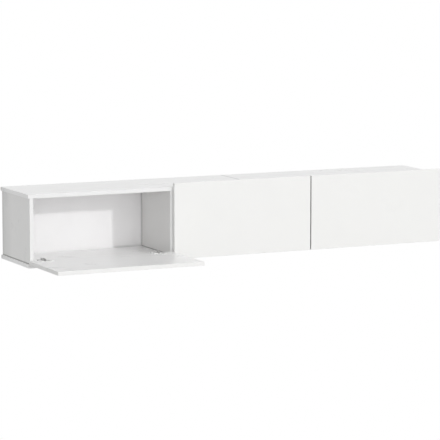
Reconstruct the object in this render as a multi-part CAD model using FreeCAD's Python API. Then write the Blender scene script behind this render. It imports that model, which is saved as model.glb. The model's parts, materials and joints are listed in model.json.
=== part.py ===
"""Wall-hung media console: a long low cabinet in two joined boxes, closed by three drop-down flaps.

Frame: X runs along the console, Y = 0 is the wall and the front faces -Y, Z is up.
The origin is on the wall, at mid length, on the line of the wall screws.
Every hinge is laid out in a side view with two coordinates: `out`, the distance in front of the
cabinet's front edges, and `up`, the height above the underside of the bottom board.
Small round pieces and their bores are drawn with flat sides, which keeps the model light.
"""
import FreeCAD, Part
import math
import os

V = FreeCAD.Vector
os.makedirs("parts", exist_ok=True)

# ---------------------------------------------------------------- cabinet
length = 1800.0            # over the ends of the top and bottom boards
depth = 296.0              # wall to the front edges of the boards
height = 282.0             # underside of the bottom board to the top of the top board
board = 15.0               # thickness of every cabinet board
end_overhang = 6.0         # top and bottom boards reach this far past the side panels
joint_from_left = 950.0    # where the left and right boxes meet
board_bevel = 0.5          # broken edges of the banded boards
bar_sides = 6              # flat sides of pins, eyes, cams and screw heads
shank_sides = 4            # flat sides of shanks, bolts and dowels, which are out of sight
cup_sides = 12             # flat sides of hinge cups

# ---------------------------------------------------------------- flaps
flap_count = 3
flap_thickness = 15.0
flap_gap = 4.0             # between neighbouring flaps
flap_lip = 16.0            # the flap stands this far above the top board, as its finger grip
flap_air = 2.0             # closed flap to the front edges of the boards
flap_bevel = 0.7           # broken edges of the flap
open_flap_up = 29.0        # height of the inner face of the open flap
open_flap_out = 3.0        # open flap's rear edge to the front edges of the boards

# ---------------------------------------------------------------- back panels
back_thickness = 3.0
back_setback = 15.0        # wall to the rear face of the back panels
groove_depth = 6.0
groove_play = 0.1          # each side of a back panel in its groove
groove_end_play = 0.5      # back panel edge to the bottom of the groove

# ---------------------------------------------------------------- corner fittings
cam_radius = 7.5
cam_depth = 12.0
cam_from_edge = 34.0       # cam centre to the end of the upright
cam_mouth = 8.0            # width of the cam's opening for its bolt
bolt_radius = 3.0
bolt_bore_play = 1.0       # round the bolt in the upright
bolt_head_radius = 3.7
bolt_head_height = 2.4
bolt_head_air = 1.0        # head to the inside of the cam
bolt_thread_length = 11.0
cam_row_front = 40.0       # from the front edges to the front cams
cam_row_back = 52.0        # from the wall to the rear cams
dowel_radius = 4.0
dowel_in_board = 10.0
dowel_in_upright = 18.0
dowel_from_front = 148.0
tie_radius = 4.0           # bolts that tie the two boxes together
tie_head_radius = 7.0
tie_head_height = 2.5
tie_from_front = 70.0
tie_from_wall = 70.0
tie_from_board = 60.0      # above the bottom board and below the top board

# ---------------------------------------------------------------- wall hanging
screw_drop = 49.0          # underside of the top board to the wall screws
rail_steel = 2.0
rail_height = 34.0
rail_offset = 5.0          # wall to the rear face of the hooked lip
rail_lip = 14.0            # height of the hooked lip
rail_end_play = 5.0        # rail end to the upright beside it
rail_hole_radius = 3.25
rail_hole_from_end = 40.0
rail_hole_from_top = 17.0  # below the bend of the rail
hanger_steel = 3.0
hanger_nose = 2.0          # thickness of the tongue that drops behind the lip
hanger_hook = 12.0         # length of the lip that the hanger takes
hanger_width = 11.5        # from wall side to front side, behind the back panel
hanger_above = 16.0        # steel above the lip
hanger_below = 24.0        # steel below the top of the lip
hanger_play = 0.3          # round the lip in the hanger's slot
hanger_wall_air = 2.0      # hanger to the wall
hanger_screw_radius = 2.0
hanger_screw_length = 11.0
hanger_head_radius = 3.8
hanger_head_height = 1.8
hanger_screw_rows = (-19.0, 10.0)   # from the top of the lip

# ---------------------------------------------------------------- concealed flap hinges
hinge_from_flap_end = 62.0
cup_radius = 17.5
cup_depth = 12.0
cup_wall = 1.0
cup_from_edge = 3.5        # flap's lower edge to the cup's bore
flange_thickness = 0.8
flange_radius = 18.6
flange_starts = 13.0       # the flange is cut off below this height on the flap
wing_reach = 24.0          # cup centre to each fixing screw, along the flap
wing_offset = 6.0          # screw row above the cup centre
wing_radius = 6.6
cup_screw_radius = 1.75
cup_screw_length = 11.0
cup_screw_head_radius = 3.4
cup_screw_head_height = 1.4

# pivots of the two links: on the flap, by height above its lower edge and depth under its inner
# face; on the arm, by distance from the pole of the flap's quarter turn
outer_pin_height = 10.5
outer_pin_depth = 3.6
outer_arm_reach = 37.0
inner_pin_height = 14.8
inner_pin_depth = 6.3
inner_arm_reach = 24.5

link_play = 0.3            # between the layers of the hinge, side by side
pin_play = 0.05            # round a pin in the eye that turns on it
inner_link_half = 3.2      # half the width of the inner link
arm_steel = 1.5            # cheeks and back of the arm
link_steel = 1.5           # cheeks of the outer link
lug_steel = 1.2            # lugs in the cup that carry the outer pins
strap = 2.8                # width of the links between their eyes
arm_pin_radius = 1.5
tip_pin_radius = 1.25
cup_pin_radius = 1.25
arm_eye_radius = 3.0
tip_eye_radius = 2.5
link_eye_radius = 2.3
outer_link_bend = ((7.0, 4.2), (-4.2, 5.2))    # along and beside the line of its pivots
inner_link_bow = 3.2
link_web = 1.2             # bridge between the cheeks of the outer link
link_web_span = (7.0, 15.0)
link_web_side = -3.4

plate_base = 2.0           # mounting plate on the bottom board
plate_front = -16.0        # front end of the plate, by `out`
plate_back = -60.0
plate_rib_height = 5.0
plate_rib_play = 0.2       # rib to the cheeks of the arm
plate_wing_out = -37.0     # row of the fixing screws
plate_screw_reach = 16.0   # hinge centre to each screw
plate_wing_end = 5.5       # each screw to the end of the plate's wing
plate_wing_half = 6.0      # half the width of the wings
plate_screw_radius = 2.5
plate_screw_length = 11.0
plate_screw_head_radius = 4.2
plate_screw_head_height = 1.8
clamp_out = -52.0          # screw that clamps the arm to its plate
adjust_out = -31.0         # screw that sets the height of the arm
clamp_radius = 2.0
clamp_head_radius = 3.6
clamp_head_height = 2.0
arm_back_end = -62.0
arm_rise_start = -27.0     # the arm leaves its plate here
arm_skirt = 4.0            # depth of the arm's cheeks beside the rib
arm_roof = 1.0             # the arm's back ends this far in front of its neck

# ---------------------------------------------------------------- worked out from the sizes above
screw_line = height - board - screw_drop
underside = -screw_line
bottom_top = underside + board
top_under = underside + height - board
top_top = underside + height
left_end = -length / 2
right_end = length / 2
front = -depth
joint_x = left_end + joint_from_left
flap_width = (length - (flap_count - 1) * flap_gap) / flap_count
flap_height = height + flap_lip
flap_lefts = [left_end + i * (flap_width + flap_gap) for i in range(flap_count)]
partition_xs = [x - flap_gap / 2 - board / 2 for x in flap_lefts[1:]]
arm_half = inner_link_half + link_play + arm_steel
outer_link_in = arm_half + link_play
outer_link_out = outer_link_in + link_steel
lug_in = outer_link_out + link_play
lug_out = lug_in + lug_steel
cup_height = cup_from_edge + cup_radius
rib_top = board + plate_base + plate_rib_height

# uprights: name, left face, side on which its cams are bored (+1 right face, -1 left face)
uprights = (
    ("side_panel_left", left_end + end_overhang, 1),
    ("partition_left", partition_xs[0], 1),
    ("centre_panel_left", joint_x - board, -1),
    ("centre_panel_right", joint_x, 1),
    ("partition_right", partition_xs[1], -1),
    ("side_panel_right", right_end - end_overhang - board, -1),
)
upright_left = {name: x for name, x, side in uprights}

# bays: name of the back panel, upright on its left, upright on its right
bays = (
    ("back_panel_left", "side_panel_left", "partition_left"),
    ("back_panel_middle_left", "partition_left", "centre_panel_left"),
    ("back_panel_middle_right", "centre_panel_right", "partition_right"),
    ("back_panel_right", "partition_right", "side_panel_right"),
)
flap_names = ("left_flap", "middle_flap", "right_flap")
flap_is_open = (True, False, False)


# ---------------------------------------------------------------- basic shapes
def block(x0, x1, y0, y1, z0, z1):
    return Part.makeBox(x1 - x0, y1 - y0, z1 - z0, V(x0, y0, z0))


def rod(radius, length_, base, direction, sides=bar_sides):
    """Round bar or bore, drawn as a regular prism; `radius` reaches its corners."""
    across = direction.cross(V(0, 1, 0) if abs(direction.z) > 0.5 else V(0, 0, 1))
    corners = [base + FreeCAD.Rotation(direction, (i + 0.5) * 360 / sides).multVec(across) * radius
               for i in range(sides)]
    return Part.Face(Part.makePolygon(corners + corners[:1])).extrude(direction * length_)


def shank_rod(radius, length_, base, direction):
    """Shank, dowel or the bore that one fills."""
    return rod(radius, length_, base, direction, shank_sides)


def turning_bore(bar_radius):
    """Radius of a bore whose flats clear a bar that turns in it."""
    return (bar_radius + pin_play) / math.cos(math.pi / bar_sides)


def joined(shapes):
    """One solid from overlapping ones."""
    return shapes[0].multiFuse(shapes[1:]).removeSplitter().Solids[0]


def export(name, shapes):
    """Write a node: one solid, or a group of separate solids."""
    solids = [s.Solids[0] for s in shapes]
    whole = solids[0] if len(solids) == 1 else Part.makeCompound(solids)
    whole.exportStep("parts/" + name + ".step")


def side_point(x, out, up):
    """World point of a hinge's side-view coordinates."""
    return V(x, front - out, underside + up)


def same(a, b):
    return abs(a - b) < 1e-6


def bevelled(solid, size, keep):
    """Break the edges that `keep` picks by their middle."""
    return solid.makeChamfer(size, [e for e in solid.Edges if keep(e.CenterOfMass)])


# ---------------------------------------------------------------- hinge geometry
def flap_point(height_on_flap, depth_in_flap, is_open):
    """Side-view place of a point of the flap, given by its height above the flap's lower edge
    and its depth under the inner face."""
    if is_open:
        return (open_flap_out + height_on_flap, open_flap_up - depth_in_flap)
    return (flap_air + depth_in_flap, height_on_flap)


def flap_pole():
    """The point about which closed and open flap are a quarter turn apart."""
    up = (open_flap_up - open_flap_out + flap_air) / 2
    return (up + open_flap_out, up)


def arm_pivot(height_on_flap, depth_in_flap, reach):
    """Pivot on the arm from which the closed and the open flap pin are equally far: it lies on
    the ray from the pole that halves the pin's quarter turn, here `reach` from the pole."""
    pole = flap_pole()
    closed = flap_point(height_on_flap, depth_in_flap, False)
    a = closed[0] - pole[0]
    b = closed[1] - pole[1]
    size = math.hypot(a, b)
    turned = ((a + b) / math.sqrt(2), (b - a) / math.sqrt(2))
    return (pole[0] + reach * turned[0] / size, pole[1] + reach * turned[1] / size)


outer_arm_pivot = arm_pivot(outer_pin_height, outer_pin_depth, outer_arm_reach)
inner_arm_pivot = arm_pivot(inner_pin_height, inner_pin_depth, inner_arm_reach)


def prism(x0, x1, corners):
    """Side-view polygon carried from x0 to x1."""
    wire = Part.makePolygon([side_point(x0, *p) for p in corners + corners[:1]])
    return Part.Face(wire).extrude(V(x1 - x0, 0, 0))


def link_frame(arm_point, pin_point):
    """Unit vectors along the line of the pivots and to its upper side, and the distance."""
    run = math.hypot(pin_point[0] - arm_point[0], pin_point[1] - arm_point[1])
    u = ((pin_point[0] - arm_point[0]) / run, (pin_point[1] - arm_point[1]) / run)
    return u, (-u[1], u[0]), run


def band(points, half):
    """Outline of a strip of even width along a bent line, with mitred bends."""
    normals = [link_frame(points[i], points[i + 1])[1] for i in range(len(points) - 1)]
    leans = normals[:1]
    for n, m in zip(normals, normals[1:]):
        size = 1 + n[0] * m[0] + n[1] * m[1]
        leans.append(((n[0] + m[0]) / size, (n[1] + m[1]) / size))
    leans.append(normals[-1])
    upper = [(p[0] + half * n[0], p[1] + half * n[1]) for p, n in zip(points, leans)]
    lower = [(p[0] - half * n[0], p[1] - half * n[1]) for p, n in zip(points, leans)]
    return upper + lower[::-1]


def in_link(arm_point, pin_point, along, beside):
    """Side-view place in a link; a negative `along` is counted back from the flap pin."""
    u, n, run = link_frame(arm_point, pin_point)
    along = along if along >= 0 else run + along
    return (arm_point[0] + along * u[0] + beside * n[0], arm_point[1] + along * u[1] + beside * n[1])


def cross_rod(x0, x1, point, radius):
    """Bar along X, by its side-view place."""
    return rod(radius, x1 - x0, side_point(x0, *point), V(1, 0, 0))


# ---------------------------------------------------------------- hinge pieces
def outer_link(x, is_open):
    """Pressed steel link: two cranked cheeks outside the arm, with a bridge under them."""
    a = outer_arm_pivot
    b = flap_point(outer_pin_height, outer_pin_depth, is_open)
    strip = band([a] + [in_link(a, b, *p) for p in outer_link_bend] + [b], strap / 2)
    ends = link_web_span
    tab = [in_link(a, b, along, beside) for along, beside in
           ((ends[0], link_web_side), (ends[1], link_web_side), (ends[1], strap), (ends[0], strap))]
    web = tab[:2] + [in_link(a, b, along, link_web_side + link_web) for along in ends[::-1]]
    pieces = [prism(x - outer_link_out, x + outer_link_out, web)]
    for side in (-1, 1):
        x0, x1 = sorted((x + side * outer_link_in, x + side * outer_link_out))
        pieces += [prism(x0, x1, strip), prism(x0, x1, tab), cross_rod(x0, x1, a, arm_eye_radius),
                   cross_rod(x0, x1, b, link_eye_radius)]
    link = joined(pieces)
    for point, radius in ((a, arm_pin_radius), (b, cup_pin_radius)):
        link = link.cut(cross_rod(x - outer_link_out, x + outer_link_out, point, turning_bore(radius)))
    return link


def inner_link(x, is_open):
    """Solid bowed link between the cheeks of the arm, with its flap pin riveted in."""
    a = inner_arm_pivot
    b = flap_point(inner_pin_height, inner_pin_depth, is_open)
    x0 = x - inner_link_half
    x1 = x + inner_link_half
    middle = in_link(a, b, link_frame(a, b)[2] / 2, inner_link_bow)
    pin_half = inner_link_half + arm_steel
    link = joined([prism(x0, x1, band([a, middle, b], strap / 2)), cross_rod(x0, x1, a, tip_eye_radius),
                   cross_rod(x0, x1, b, link_eye_radius),
                   cross_rod(x - pin_half, x + pin_half, b, cup_pin_radius)])
    return link.cut(cross_rod(x0, x1, a, turning_bore(tip_pin_radius)))


def hinge_arm(x):
    """Pressed steel arm: a channel that sits over the rib of its plate, rises and ends in two
    cheeks that carry both arm pins. Its rear end is slotted for the clamp screw."""
    back_top = rib_top + arm_steel
    a = outer_arm_pivot
    c = inner_arm_pivot
    neck = (a[0] - arm_eye_radius, a[1] + arm_eye_radius)
    outline = [(arm_back_end, rib_top - arm_skirt), (arm_back_end, back_top), (arm_rise_start, back_top),
               neck, (a[0], a[1] + arm_eye_radius), (c[0], c[1] + tip_eye_radius),
               (c[0], c[1] - tip_eye_radius), (a[0], a[1] - arm_eye_radius),
               (arm_rise_start + arm_eye_radius, rib_top - arm_skirt)]
    body = joined([prism(x - arm_half, x + arm_half, outline),
                   cross_rod(x - arm_half, x + arm_half, c, tip_eye_radius)])
    slope = math.hypot(neck[0] - arm_rise_start, neck[1] - back_top)
    drop = arm_steel * slope / (neck[0] - arm_rise_start)
    over = neck[1] + arm_steel
    before = c[0] + 2 * tip_eye_radius
    channel = [(arm_back_end, board), (arm_back_end, rib_top), (arm_rise_start, rib_top),
               (neck[0], neck[1] - drop), (neck[0] + arm_roof, over), (before, over), (before, board)]
    gap_half = inner_link_half + link_play
    body = body.cut(prism(x - gap_half, x + gap_half, channel))
    for point, radius in ((a, arm_pin_radius), (c, tip_pin_radius)):
        body = body.cut(cross_rod(x - arm_half, x + arm_half, point, radius))
    half = clamp_radius * math.cos(math.pi / shank_sides)
    slot = [(arm_back_end, rib_top), (arm_back_end, back_top), (clamp_out + half, back_top),
            (clamp_out + half, rib_top)]
    body = body.cut(prism(x - half, x + half, slot))
    return body.cut(shank_rod(clamp_radius, arm_steel, side_point(x, adjust_out, rib_top), V(0, 0, 1)))


def mounting_plate(x):
    """Die-cast plate on the bottom board: a rib under the arm and a wing with a screw each side."""
    rib_half = inner_link_half + link_play - plate_rib_play
    wing_end = plate_screw_reach + plate_wing_end
    y0 = front - plate_front
    y1 = front - plate_back
    y_row = front - plate_wing_out
    top = bottom_top + plate_base
    plate = joined([block(x - rib_half, x + rib_half, y0, y1, bottom_top, top + plate_rib_height),
                    block(x - arm_half, x + arm_half, y0, y1, bottom_top, top),
                    block(x - wing_end, x + wing_end, y_row - plate_wing_half, y_row + plate_wing_half,
                          bottom_top, top)])
    for s in (-1, 1):
        hole = side_point(x + s * plate_screw_reach, plate_wing_out, board)
        plate = plate.cut(shank_rod(plate_screw_radius, plate_base, hole, V(0, 0, 1)))
    seat = side_point(x, clamp_out, board + plate_base)
    return plate.cut(shank_rod(clamp_radius, plate_rib_height, seat, V(0, 0, 1)))


def pan_screw(seat, direction, radius, shank, head_radius, head_height):
    """Screw whose head sits on `seat`, with its shank along `direction`."""
    return joined([rod(head_radius, head_height, seat, direction * -1),
                   shank_rod(radius, shank, seat, direction)])


def hinge_fixings(x):
    """Screws of one mounting plate and arm: two in the wings, the clamp screw that goes into the
    plate, and the height screw that stands on its rib."""
    down = V(0, 0, -1)
    wings = [pan_screw(side_point(x + s * plate_screw_reach, plate_wing_out, board + plate_base), down,
                       plate_screw_radius, plate_screw_length,
                       plate_screw_head_radius, plate_screw_head_height) for s in (-1, 1)]
    clamps = [pan_screw(side_point(x, out, rib_top + arm_steel), down, clamp_radius, arm_steel + into_rib,
                        clamp_head_radius, clamp_head_height)
              for out, into_rib in ((clamp_out, plate_rib_height), (adjust_out, 0))]
    return wings, clamps


def arm_pins(x):
    reach = outer_link_out + link_play
    return [cross_rod(x - reach, x + reach, outer_arm_pivot, arm_pin_radius),
            cross_rod(x - arm_half, x + arm_half, inner_arm_pivot, tip_pin_radius)]


def on_closed_flap(x, height_on_flap, depth_in_flap):
    return side_point(x, flap_air + depth_in_flap, height_on_flap)


def opened(shape, is_open):
    """Turn a piece that was built on the closed flap into its place on the open one."""
    if not is_open:
        return shape
    out, up = flap_pole()
    shape = shape.copy()
    shape.rotate(side_point(0, out, up), V(1, 0, 0), 90)
    return shape


def hinge_cup(x):
    """Pressed steel cup with its winged flange and the two lugs that carry the outer pins."""
    into = V(0, -1, 0)
    centre = on_closed_flap(x, cup_height, 0)
    wings = [on_closed_flap(x + s * wing_reach, cup_height + wing_offset, 0) for s in (-1, 1)]
    flange = [rod(flange_radius, flange_thickness, centre, V(0, 1, 0), cup_sides),
              block(x - wing_reach, x + wing_reach, centre.y, centre.y + flange_thickness,
                    wings[0].z - wing_radius, wings[0].z + wing_radius)]
    flange += [rod(wing_radius, flange_thickness, p, V(0, 1, 0)) for p in wings]
    cut_off = block(x - 2 * flange_radius, x + 2 * flange_radius, centre.y, centre.y + flange_thickness,
                    underside, underside + flange_starts)
    cup = joined([joined(flange).cut(cut_off), rod(cup_radius, cup_depth, centre, into, cup_sides)])
    inside = rod(cup_radius - cup_wall, cup_depth - cup_wall + flange_thickness,
                 centre + V(0, flange_thickness, 0), into, cup_sides)
    cup = cup.cut(inside)
    floor_y = centre.y - cup_depth + cup_wall
    lug_top = outer_pin_depth - link_eye_radius
    lugs = []
    for side in (-1, 1):
        x0, x1 = sorted((x + side * lug_in, x + side * lug_out))
        low = underside + outer_pin_height
        lugs.append(block(x0, x1, floor_y - cup_wall / 2, centre.y - lug_top,
                          low - link_eye_radius, low + link_eye_radius))
    cup = joined([cup] + lugs)
    for p in wings:
        cup = cup.cut(shank_rod(cup_screw_radius, flange_thickness, p, V(0, 1, 0)))
    pin = on_closed_flap(x - lug_out, outer_pin_height, outer_pin_depth)
    return cup.cut(rod(cup_pin_radius, 2 * lug_out, pin, V(1, 0, 0)))


def cup_pins(x):
    """Two short pins, one through each lug, on which the outer link's cheeks turn."""
    pins = []
    for side in (-1, 1):
        inner_end = outer_link_in - link_play / 2
        start = on_closed_flap(x + side * inner_end, outer_pin_height, outer_pin_depth)
        pins.append(rod(cup_pin_radius, lug_out - inner_end, start, V(side, 0, 0)))
    return pins


def cup_screws(x):
    row = cup_height + wing_offset
    seats = [on_closed_flap(x + s * wing_reach, row, -flange_thickness) for s in (-1, 1)]
    return [pan_screw(p, V(0, -1, 0), cup_screw_radius, cup_screw_length, cup_screw_head_radius,
                      cup_screw_head_height) for p in seats]


def flap_hinge_xs(i):
    return [flap_lefts[i] + hinge_from_flap_end, flap_lefts[i] + flap_width - hinge_from_flap_end]


def flap_panel(i):
    """Flap with banded, slightly rounded edges, bored for its cups and their screws."""
    x0 = flap_lefts[i]
    panel = block(x0, x0 + flap_width, front - flap_air - flap_thickness, front - flap_air,
                  underside, underside + flap_height)
    panel = panel.makeChamfer(flap_bevel, panel.Edges)
    for x in flap_hinge_xs(i):
        centre = on_closed_flap(x, cup_height, 0)
        panel = panel.cut(rod(cup_radius, cup_depth, centre, V(0, -1, 0), cup_sides))
        for s in (-1, 1):
            hole = on_closed_flap(x + s * wing_reach, cup_height + wing_offset, 0)
            pilot = cup_screw_length - flange_thickness
            panel = panel.cut(shank_rod(cup_screw_radius, pilot, hole, V(0, -1, 0)))
    return panel


# ---------------------------------------------------------------- corner fittings
def joint_places():
    """Each end of each upright: middle of its thickness, cam side, end height and way into the upright."""
    for name, x, side in uprights:
        for z, inward in ((bottom_top, 1), (top_under, -1)):
            yield name, x + board / 2, side, z, inward


def cam_rows():
    return (front + cam_row_front, -cam_row_back)


def cam(x, side, y, z, inward):
    """Cam housing in the face of an upright, open towards its bolt."""
    face = x + side * board / 2
    centre = z + inward * cam_from_edge
    body = rod(cam_radius, cam_depth, V(face, y, centre), V(-side, 0, 0))
    x0, x1 = sorted((x + side * cam_mouth / 2, face - side * cam_depth))
    z0, z1 = sorted((centre + inward * (bolt_head_height + bolt_head_air), centre - inward * cam_radius))
    return body.cut(block(x0, x1, y - cam_mouth / 2, y + cam_mouth / 2, z0, z1))


def cam_bolt(x, y, z, inward):
    """Bolt screwed into the board, with its head inside the cam."""
    up = V(0, 0, inward)
    end = V(x, y, z) - up * bolt_thread_length
    head = V(x, y, z) + up * (cam_from_edge - bolt_head_height)
    return joined([shank_rod(bolt_radius, bolt_thread_length + cam_from_edge - bolt_head_height, end, up),
                   shank_rod(bolt_head_radius, bolt_head_height, head, up)])


def dowel(x, z, inward):
    y = front + dowel_from_front
    return shank_rod(dowel_radius, dowel_in_board + dowel_in_upright, V(x, y, z - inward * dowel_in_board),
                     V(0, 0, inward))


def tie_places():
    """Where the bolts that tie the two boxes pass the left face of the left centre panel."""
    for y in (front + tie_from_front, -tie_from_wall):
        for z in (bottom_top + tie_from_board, top_under - tie_from_board):
            yield V(joint_x - board, y, z)


def tie_bolt(place):
    """Sleeve bolt through both centre panels, with a flat head on each side."""
    along = V(1, 0, 0)
    return joined([shank_rod(tie_radius, 2 * board, place, along),
                   rod(tie_head_radius, tie_head_height, place, along * -1),
                   rod(tie_head_radius, tie_head_height, place + along * (2 * board), along)])


# ---------------------------------------------------------------- wall hanging
def rail_span(left_name, right_name):
    x0 = upright_left[left_name] + board + rail_end_play
    return x0, upright_left[right_name] - rail_end_play


def lip_top():
    return rail_hole_from_top + rail_lip


def wall_rail(left_name, right_name):
    """Steel rail on the wall, bent forward and up into a lip along its top."""
    x0, x1 = rail_span(left_name, right_name)
    bend = rail_hole_from_top
    low = bend - rail_height
    flat = block(x0, x1, -rail_steel, 0, low, bend)
    shelf = block(x0, x1, -rail_offset - rail_steel, 0, bend - rail_steel, bend)
    lip = block(x0, x1, -rail_offset - rail_steel, -rail_offset, bend - rail_steel, lip_top())
    rail = joined([flat, shelf, lip])
    for x in (x0 + rail_hole_from_end, x1 - rail_hole_from_end):
        rail = rail.cut(Part.makeCylinder(rail_hole_radius, rail_steel, V(x, -rail_steel, 0), V(0, 1, 0)))
    return rail


hanger_places = (
    ("hanger_plate_1", "side_panel_left", 1),
    ("hanger_plate_2", "partition_left", -1),
    ("hanger_plate_3", "partition_right", 1),
    ("hanger_plate_4", "side_panel_right", -1),
)


def hanger_face(upright, side):
    return upright_left[upright] + (board if side > 0 else 0)


def hanger_rows():
    return [lip_top() + dz for dz in hanger_screw_rows]


def hanger_screw_y():
    return -hanger_wall_air - hanger_width + hanger_head_radius


def hanger_reach():
    """Upright to the end of the hanger's hook, across the play at the rail's end."""
    return rail_end_play + hanger_hook


def hanger_plate(upright, side):
    """Steel angle screwed to an upright; its cross plate is slotted to hook over the rail's lip."""
    face = hanger_face(upright, side)
    y0 = -hanger_wall_air - hanger_width
    y1 = -hanger_wall_air
    z0 = lip_top() - hanger_below
    z1 = lip_top() + hanger_above
    x0, x1 = sorted((face, face + side * hanger_steel))
    a0, a1 = sorted((face, face + side * hanger_reach()))
    upright_leg = block(x0, x1, y0, y1, z0, z1)
    cover_low = lip_top() + hanger_play
    cover = block(a0, a1, y0, y1, cover_low, cover_low + hanger_steel)
    nose_low = lip_top() - rail_lip + hanger_play
    nose = block(a0, a1, y1 - hanger_nose, y1, nose_low, cover_low + hanger_steel)
    plate = joined([upright_leg, cover, nose])
    for z in hanger_rows():
        hole = V(x0, hanger_screw_y(), z)
        plate = plate.cut(shank_rod(hanger_screw_radius, hanger_steel, hole, V(1, 0, 0)))
    return plate


def hanger_screws():
    screws = []
    for name, upright, side in hanger_places:
        face = hanger_face(upright, side)
        for z in hanger_rows():
            screws.append(pan_screw(V(face + side * hanger_steel, hanger_screw_y(), z), V(-side, 0, 0),
                                    hanger_screw_radius, hanger_screw_length, hanger_head_radius,
                                    hanger_head_height))
    return screws


# ---------------------------------------------------------------- boards
def back_size(left_name, right_name):
    """Corner places of a back panel: in its grooves on all four sides."""
    hold = groove_depth - groove_end_play
    x0 = upright_left[left_name] + board - hold
    x1 = upright_left[right_name] + hold
    return x0, x1, bottom_top - hold, top_under + hold


def back_panel(left_name, right_name):
    x0, x1, z0, z1 = back_size(left_name, right_name)
    return block(x0, x1, -back_setback - back_thickness, -back_setback, z0, z1)


def groove_faces():
    """Front and rear of the grooves."""
    return -back_setback - back_thickness - groove_play, -back_setback + groove_play


def long_board(x0, x1, z0, z1, is_top):
    """Top or bottom board of one box: grooved for the back panels, bored for bolts and dowels."""
    outer_z = z1 if is_top else z0
    shape = bevelled(block(x0, x1, front, 0, z0, z1), board_bevel,
                     lambda p: same(p.y, front) or (same(p.z, outer_z) and not same(p.y, 0)))
    y0, y1 = groove_faces()
    face = z0 if is_top else z1
    g0, g1 = sorted((face, face + groove_depth if is_top else face - groove_depth))
    for name, left_name, right_name in bays:
        b0, b1 = back_size(left_name, right_name)[:2]
        if b1 > x0 and b0 < x1:
            shape = shape.cut(block(b0 - groove_play, b1 + groove_play, y0, y1, g0, g1))
    for name, x, side, z, inward in joint_places():
        if x0 < x < x1 and same(z, face):
            for y in cam_rows():
                shape = shape.cut(shank_rod(bolt_radius, bolt_thread_length, V(x, y, z), V(0, 0, -inward)))
            shape = shape.cut(dowel(x, z, inward))
    return shape


def hinge_bores(shape, x0, x1):
    """Pilot holes for the mounting plates that stand on this bottom board."""
    for i in range(flap_count):
        for x in flap_hinge_xs(i):
            for s in (-1, 1):
                px = x + s * plate_screw_reach
                if x0 < px < x1:
                    depth_ = plate_screw_length - plate_base
                    top = side_point(px, plate_wing_out, board)
                    shape = shape.cut(shank_rod(plate_screw_radius, depth_, top, V(0, 0, -1)))
    return shape


def upright_panel(name, x, side):
    """Side panel, partition or centre panel: grooved, and bored for its fittings."""
    shape = bevelled(block(x, x + board, front, 0, bottom_top, top_under), board_bevel,
                     lambda p: same(p.y, front) and same(p.z, (bottom_top + top_under) / 2))
    y0, y1 = groove_faces()
    for bay, left_name, right_name in bays:
        if left_name == name:
            shape = shape.cut(block(x + board - groove_depth, x + board, y0, y1, bottom_top, top_under))
        if right_name == name:
            shape = shape.cut(block(x, x + groove_depth, y0, y1, bottom_top, top_under))
    for joint_name, mid, cam_side, z, inward in joint_places():
        if joint_name == name:
            for y in cam_rows():
                face = V(mid + cam_side * board / 2, y, z + inward * cam_from_edge)
                shape = shape.cut(rod(cam_radius, cam_depth, face, V(-cam_side, 0, 0)))
                mouth = V(mid, y, z)
                bore = shank_rod(bolt_radius + bolt_bore_play, cam_from_edge, mouth, V(0, 0, inward))
                shape = shape.cut(bore)
            shape = shape.cut(dowel(mid, z, inward))
    for plate_name, upright, plate_side in hanger_places:
        if upright == name:
            face = hanger_face(upright, plate_side)
            for z in hanger_rows():
                pilot = hanger_screw_length - hanger_steel
                seat = V(face, hanger_screw_y(), z)
                shape = shape.cut(shank_rod(hanger_screw_radius, pilot, seat, V(-plate_side, 0, 0)))
    if name.startswith("centre"):
        for place in tie_places():
            shape = shape.cut(shank_rod(tie_radius, 2 * board, place, V(1, 0, 0)))
    return shape


# ---------------------------------------------------------------- the pieces
for side_name, x0, x1 in (("left", left_end, joint_x), ("right", joint_x, right_end)):
    export("top_board_" + side_name, [long_board(x0, x1, top_under, top_top, True)])
    bottom = long_board(x0, x1, underside, bottom_top, False)
    export("bottom_board_" + side_name, [hinge_bores(bottom, x0, x1)])

for name, x, side in uprights:
    export(name, [upright_panel(name, x, side)])

for name, left_name, right_name in bays:
    export(name, [back_panel(left_name, right_name)])

joints = list(joint_places())
export("cams", [cam(x, side, y, z, inward) for name, x, side, z, inward in joints for y in cam_rows()])
export("cam_bolts", [cam_bolt(x, y, z, inward) for name, x, side, z, inward in joints for y in cam_rows()])
export("dowels", [dowel(x, z, inward) for name, x, side, z, inward in joints])
export("tie_bolts", [tie_bolt(place) for place in tie_places()])

export("wall_rail_left", [wall_rail("side_panel_left", "partition_left")])
export("wall_rail_right", [wall_rail("partition_right", "side_panel_right")])
for name, upright, side in hanger_places:
    export(name, [hanger_plate(upright, side)])
export("hanger_screws", hanger_screws())

plate_screws = []
arm_screws = []
pins = []
for i in range(flap_count):
    name = flap_names[i]
    xs = flap_hinge_xs(i)
    is_open = flap_is_open[i]
    export(name + "_panel", [opened(flap_panel(i), is_open)])
    export(name + "_cups", [opened(hinge_cup(x), is_open) for x in xs])
    export(name + "_cup_pins", [opened(p, is_open) for x in xs for p in cup_pins(x)])
    export(name + "_cup_screws", [opened(s, is_open) for x in xs for s in cup_screws(x)])
    export(name + "_outer_links", [outer_link(x, is_open) for x in xs])
    export(name + "_inner_links", [inner_link(x, is_open) for x in xs])
    export(name + "_mounting_plates", [mounting_plate(x) for x in xs])
    for end, x in zip(("left", "right"), xs):
        export(name + "_hinge_arm_" + end, [hinge_arm(x)])
        wings, clamps = hinge_fixings(x)
        plate_screws += wings
        arm_screws += clamps
        pins += arm_pins(x)
export("hinge_plate_screws", plate_screws)
export("hinge_arm_screws", arm_screws)
export("hinge_arm_pins", pins)
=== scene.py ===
import json
import math

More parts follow.
